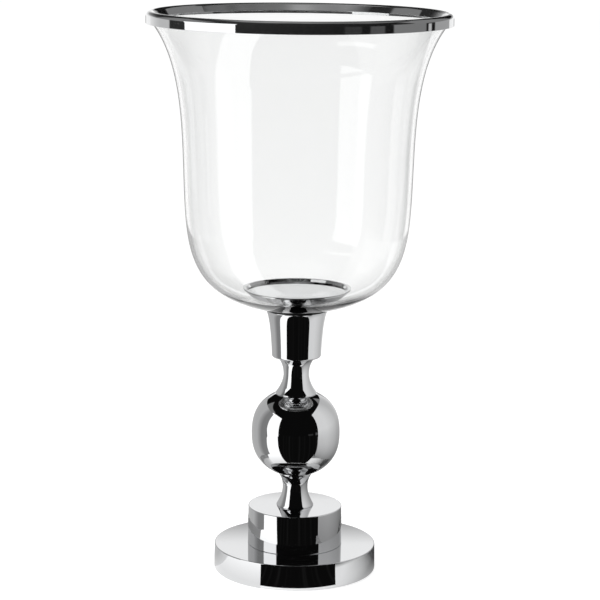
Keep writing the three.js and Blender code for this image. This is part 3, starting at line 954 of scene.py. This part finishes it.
def shown_where(surface, share):
    """Shows a surface by a share, and lets rays through it otherwise."""
    gone = surface.add("ShaderNodeBsdfTransparent")
    mixed = surface.tree.nodes.new("ShaderNodeMixShader")
    surface.feed(mixed.inputs[0], share)
    surface.feed(mixed.inputs[1], gone.outputs["BSDF"])
    surface.feed(mixed.inputs[2], surface.shader.outputs["BSDF"])
    surface.feed(surface.tree.nodes["Material Output"].inputs["Surface"], mixed.outputs["Shader"])


def reached_by(surface, depth):
    """1 for rays that have been reflected or let through before, by the depth's name."""
    path = surface.add("ShaderNodeLightPath")
    return surface.math("MINIMUM", path.outputs[depth], 1)


def glow(name, level=1.0, behind_glass=False):
    """A surface that glows evenly, and is there for reflections alone, or for those behind glass."""
    surface = Surface(name, Base_Color=(0, 0, 0, 1), Roughness=1.0, Specular_IOR_Level=0.0,
                      Emission_Color=(1, 1, 1, 1), Emission_Strength=level)
    share = reached_by(surface, "Glossy Depth")
    if behind_glass:
        share = surface.math("MULTIPLY", share, reached_by(surface, "Transmission Depth"))
    shown_where(surface, share)
    return surface


def position(surface):
    return surface.add("ShaderNodeSeparateXYZ", Vector=surface.place()).outputs


def distance_out(surface):
    """Distance from the foot of the axis."""
    node = surface.add("ShaderNodeVectorMath", Vector=surface.place())
    node.operation = "LENGTH"
    return node.outputs["Value"]


def reflections_only(thing):
    thing.visible_camera = False
    thing.visible_diffuse = False
    thing.visible_shadow = False


def panel(corners, surface, steps=12):
    """A sheet between four corners, from the top back round to the foot, named as its surface."""
    corners = [np.array(point, float) for point in corners]
    vertices = []
    for down in np.linspace(0, 1, steps + 1):
        start = corners[0] + (corners[3] - corners[0]) * down
        end = corners[1] + (corners[2] - corners[1]) * down
        vertices += [start + (end - start) * across for across in np.linspace(0, 1, steps + 1)]
    row = steps + 1
    starts = [y * row + x for y in range(steps) for x in range(steps)]
    faces = [(at, at + 1, at + 1 + row, at + row) for at in starts]
    reflections_only(stage_mesh(surface.material.name, vertices, faces, surface))


def upright(start, end, top, foot):
    """Corners of an upright sheet that stands on a line."""
    return (*start, top), (*end, top), (*end, foot), (*start, foot)


def level_sheet(left, right, front, back, height):
    """Corners of a level sheet."""
    return (left, front, height), (right, front, height), (right, back, height), (left, back, height)


# Softbox, on the left and in front, and the light above it, which whitens the plate's far wall
SOFTBOX = 1.5
SOFTBOX_CORNERS = ((-600, -55, 655), (-745, -760, 940), (-745, -760, -500), (-600, -178, -168))
PLATE_LIGHT = 1.2
PLATE_LIGHT_CORNERS = ((-363, -378, 1050), (-832, -31, 1050), (-904, -127, 1050), (-435, -474, 1050))

# Left card, shaded towards the softbox
LEFT_CARD = 0.54
LEFT_CARD_FRONT = 0.27
LEFT_CARD_SHADE = (0.0, 0.07)
LEFT_CARD_CORNERS = upright((-200, 700), (-200, -62), top=305, foot=-150)


def left_card_surface():
    surface = glow("left_card")
    level = surface.spread(position(surface)["Y"], LEFT_CARD_FRONT, LEFT_CARD, *LEFT_CARD_SHADE)
    surface.set("Emission Strength", level)
    return surface


# Right card, bright towards the camera and at the rear, and shaded at its foot
RIGHT_CARD = 0.88
RIGHT_CARD_MIDDLE = 0.62
RIGHT_CARD_FOOT = 0.36
RIGHT_CARD_FRONT_SHADE = (-0.03, 0.1)
RIGHT_CARD_REAR_SHADE = (0.2, 0.45)
RIGHT_CARD_FOOT_SHADE = (0.0, 0.16)
RIGHT_CARD_CORNERS = upright((150, -110), (150, 523), top=326, foot=-150)


def right_card_surface():
    surface = glow("right_card")
    at = position(surface)
    front = surface.spread(at["Y"], RIGHT_CARD, RIGHT_CARD_MIDDLE, *RIGHT_CARD_FRONT_SHADE)
    rear = surface.spread(at["Y"], 0.0, RIGHT_CARD - RIGHT_CARD_MIDDLE, *RIGHT_CARD_REAR_SHADE)
    foot = surface.spread(at["Z"], RIGHT_CARD_FOOT, 1.0, *RIGHT_CARD_FOOT_SHADE)
    surface.set("Emission Strength", surface.math("MULTIPLY", surface.math("ADD", front, rear), foot))
    return surface


# Rear screen, bright, with a shaded part low behind the object, which draws its outline
REAR_SCREEN = 1.06
REAR_SHADE = 0.42
REAR_SHADE_ASIDE = (0.5, 0.6)
REAR_SHADE_HEIGHT = 0.18
REAR_SHADE_UP = (0.28, 0.32)
REAR_SCREEN_CORNERS = upright((-1150, 1500), (1150, 1500), top=660, foot=-500)


def rear_screen_surface():
    surface = glow("rear_screen")
    at = position(surface)
    aside = surface.math("ABSOLUTE", at["X"])
    high_up = surface.math("ABSOLUTE", surface.math("SUBTRACT", at["Z"], REAR_SHADE_HEIGHT))
    away = surface.math("MAXIMUM", surface.spread(aside, 0, 1, *REAR_SHADE_ASIDE),
                        surface.spread(high_up, 0, 1, *REAR_SHADE_UP))
    surface.set("Emission Strength", surface.spread(away, REAR_SHADE, REAR_SCREEN, 0, 1))
    return surface


# Ceiling, uneven, darker at its left and right ends and brighter behind its front edge
OVERHEAD = 0.28
OVERHEAD_DARK = 0.1
OVERHEAD_LEFT_SHARE = 0.25
OVERHEAD_LEFT_SHADE = (-0.3, -0.2)
OVERHEAD_RIGHT_SHARE = 0.5
OVERHEAD_RIGHT_SHADE = (0.02, 0.2)
OVERHEAD_BEHIND_SHARE = 1.5
OVERHEAD_BEHIND_SHADE = (-0.17, -0.1)
OVERHEAD_CORNERS = level_sheet(left=-300, right=450, front=-250, back=290, height=1050)


def overhead_surface():
    surface = glow("overhead")
    at = position(surface)
    left = surface.spread(at["X"], OVERHEAD_LEFT_SHARE, 1, *OVERHEAD_LEFT_SHADE)
    right = surface.spread(at["X"], 1, OVERHEAD_RIGHT_SHARE, *OVERHEAD_RIGHT_SHADE)
    behind = surface.spread(at["Y"], 1, OVERHEAD_BEHIND_SHARE, *OVERHEAD_BEHIND_SHADE)
    share = surface.math("MULTIPLY", surface.math("MULTIPLY", left, right), behind)
    level = surface.spread(surface.noise(5, detail=1), OVERHEAD_DARK, OVERHEAD)
    surface.set("Emission Strength", surface.math("MULTIPLY", level, share))
    return surface


panel(SOFTBOX_CORNERS, glow("softbox", SOFTBOX))
panel(LEFT_CARD_CORNERS, left_card_surface())
panel(RIGHT_CARD_CORNERS, right_card_surface())
panel(REAR_SCREEN_CORNERS, rear_screen_surface())
panel(OVERHEAD_CORNERS, overhead_surface())
panel(PLATE_LIGHT_CORNERS, glow("plate_light", PLATE_LIGHT, behind_glass=True))

# Black sheet on the floor: it starts on an arc a little in front of the foot and widens away from it
BLACK_STREAK = 0.014
SHEET_NEAR = 94
SHEET_LEFT = math.radians(-27.6)
SHEET_RIGHT = math.radians(34.7)
SHEET_STEPS = 12
SHEET_HEIGHT = 0.4
SHEET_FAR = ((908, -571), (908, -1600), (-1745, -1600))


def black_sheet_surface():
    """Black, with faint streaks that run away from the object."""
    surface = glow("black_sheet")
    at = position(surface)
    turn = surface.math("ARCTAN2", at["X"], surface.math("MULTIPLY", at["Y"], -1))
    across = surface.add("ShaderNodeCombineXYZ", X=turn)
    streaks = surface.add("ShaderNodeTexNoise", Vector=across.outputs["Vector"], Scale=9, Detail=3)
    level = surface.spread(streaks.outputs["Fac"], BLACK, BLACK_STREAK, 0.5, 0.75)
    surface.set("Emission Strength", level)
    return surface


sheet_near = [(SHEET_NEAR * math.sin(turn), -SHEET_NEAR * math.cos(turn))
              for turn in np.linspace(SHEET_LEFT, SHEET_RIGHT, SHEET_STEPS)]
sheet_outline = [(*place, SHEET_HEIGHT) for place in [*sheet_near, *SHEET_FAR]]
reflections_only(stage_mesh("black_sheet", sheet_outline, [tuple(reversed(range(len(sheet_outline))))],
                            black_sheet_surface()))

# Pale floor on the left of the black sheet, brighter away from the foot
LEFT_FLOOR = 1.05
LEFT_FLOOR_FAR = 1.5
LEFT_FLOOR_SHADE = (0.1, 0.2)
LEFT_FLOOR_HEIGHT = 0.3
LEFT_FLOOR_PLACES = ((-33.3, -74.4), (-700, -668), (-700, -150), (-75, 0))


def left_floor_surface():
    surface = glow("left_floor")
    level = surface.spread(distance_out(surface), LEFT_FLOOR, LEFT_FLOOR_FAR, *LEFT_FLOOR_SHADE)
    surface.set("Emission Strength", level)
    return surface


left_floor_outline = [(*place, LEFT_FLOOR_HEIGHT) for place in LEFT_FLOOR_PLACES]
reflections_only(stage_mesh("left_floor", left_floor_outline, [(0, 1, 2, 3)], left_floor_surface()))

# Floor: pale, white to the camera and through the glass, with the object's soft shadow.
# The metal mirrors it near the foot only, a little lit in front and on the left
FLOOR_REACH = 30000
FLOOR_COLOUR = (0.35, 0.35, 0.35)
FLOOR_SEEN_COLOUR = (0.44, 0.44, 0.44)
FLOOR_LIFT = 0.765
FLOOR_MIRRORED_REACH = 0.2
FLOOR_FRONT_LIFT = 0.75
FLOOR_FRONT_SHADE = (-0.08, 0.03)
FLOOR_LEFT_LIFT = 0.3
FLOOR_LEFT_SHADE = (-0.05, 0.05)
FLOOR_NEAR_SHADE = (0.15, 0.165)


def floor_surface():
    surface = Surface("floor", Roughness=0.9, Specular_IOR_Level=0.0, Emission_Color=(1, 1, 1, 1))
    path = surface.add("ShaderNodeLightPath").outputs
    reflected = reached_by(surface, "Glossy Depth")
    seen = surface.math("MAXIMUM", path["Is Camera Ray"], path["Is Transmission Ray"])
    white = surface.math("MULTIPLY", seen, surface.math("SUBTRACT", 1, reflected))
    surface.set("Base Color", surface.colour(white, FLOOR_COLOUR, FLOOR_SEEN_COLOUR))
    at, distance = position(surface), distance_out(surface)
    front = surface.spread(at["Y"], FLOOR_FRONT_LIFT, 0, *FLOOR_FRONT_SHADE)
    left = surface.spread(at["X"], FLOOR_LEFT_LIFT, 0, *FLOOR_LEFT_SHADE)
    near = surface.spread(distance, 1, 0, *FLOOR_NEAR_SHADE)
    mirrored = surface.math("MULTIPLY", surface.math("ADD", front, left), near)
    mirrored = surface.math("MULTIPLY", reflected, mirrored)
    lift = surface.math("ADD", surface.math("MULTIPLY", white, FLOOR_LIFT), mirrored)
    surface.set("Emission Strength", lift)
    beyond = surface.math("GREATER_THAN", distance, FLOOR_MIRRORED_REACH)
    shown_where(surface, surface.math("SUBTRACT", 1, surface.math("MULTIPLY", reflected, beyond)))
    return surface


floor_corners = level_sheet(-FLOOR_REACH, FLOOR_REACH, -FLOOR_REACH, FLOOR_REACH, height=0)
stage_mesh("floor", floor_corners, [(0, 1, 2, 3)], floor_surface())

# Lamps: one broad soft key above left and a weaker fill, which only the floor and dull pieces show
LAMP_TARGET = np.array([0, 0, 0.2])


def area_lamp(name, place, size, power):
    """A round lamp in metres and watts, aimed at the stem."""
    lamp = bpy.data.lights.new(name, "AREA")
    lamp.shape = "DISK"
    lamp.size = size
    lamp.energy = power
    holder = linked(name, lamp)
    holder.location = place
    aim = LAMP_TARGET - np.array(place)
    yaw = math.atan2(aim[0], -aim[1])
    pitch = math.acos(-aim[2] / np.linalg.norm(aim))
    holder.rotation_euler = (pitch, 0, yaw + math.pi)
    holder.visible_glossy = False
    holder.visible_transmission = False
    holder.visible_camera = False


area_lamp("key", place=(-1.1, -0.6, 1.0), size=0.8, power=26)
area_lamp("fill", place=(0.6, -1.2, 2.2), size=1.2, power=8)

# Camera: the photograph's place in metres, lens, and slight roll in radians
CAMERA_PLACE = (0.00297, -2.1390, 0.6980)
CAMERA_LENS = 131.10
CAMERA_FRAME = 36
CAMERA_CLIP = (0.05, 200)
CAMERA_PITCH = math.radians(90 - 11.12)
CAMERA_ROLL = 0.0106


def build_camera():
    camera = bpy.data.cameras.new("camera")
    camera.lens = CAMERA_LENS
    camera.sensor_width = CAMERA_FRAME
    camera.clip_start, camera.clip_end = CAMERA_CLIP
    eye = linked("camera", camera)
    eye.location = CAMERA_PLACE
    eye.rotation_mode = "QUATERNION"
    tilt, roll = CAMERA_PITCH / 2, CAMERA_ROLL / 2
    eye.rotation_quaternion = (
        math.cos(tilt) * math.cos(roll), math.sin(tilt) * math.cos(roll),
        -math.sin(tilt) * math.sin(roll), math.cos(tilt) * math.sin(roll))
    bpy.context.scene.camera = eye


build_camera()
bpy.context.scene.view_settings.view_transform = "Standard"
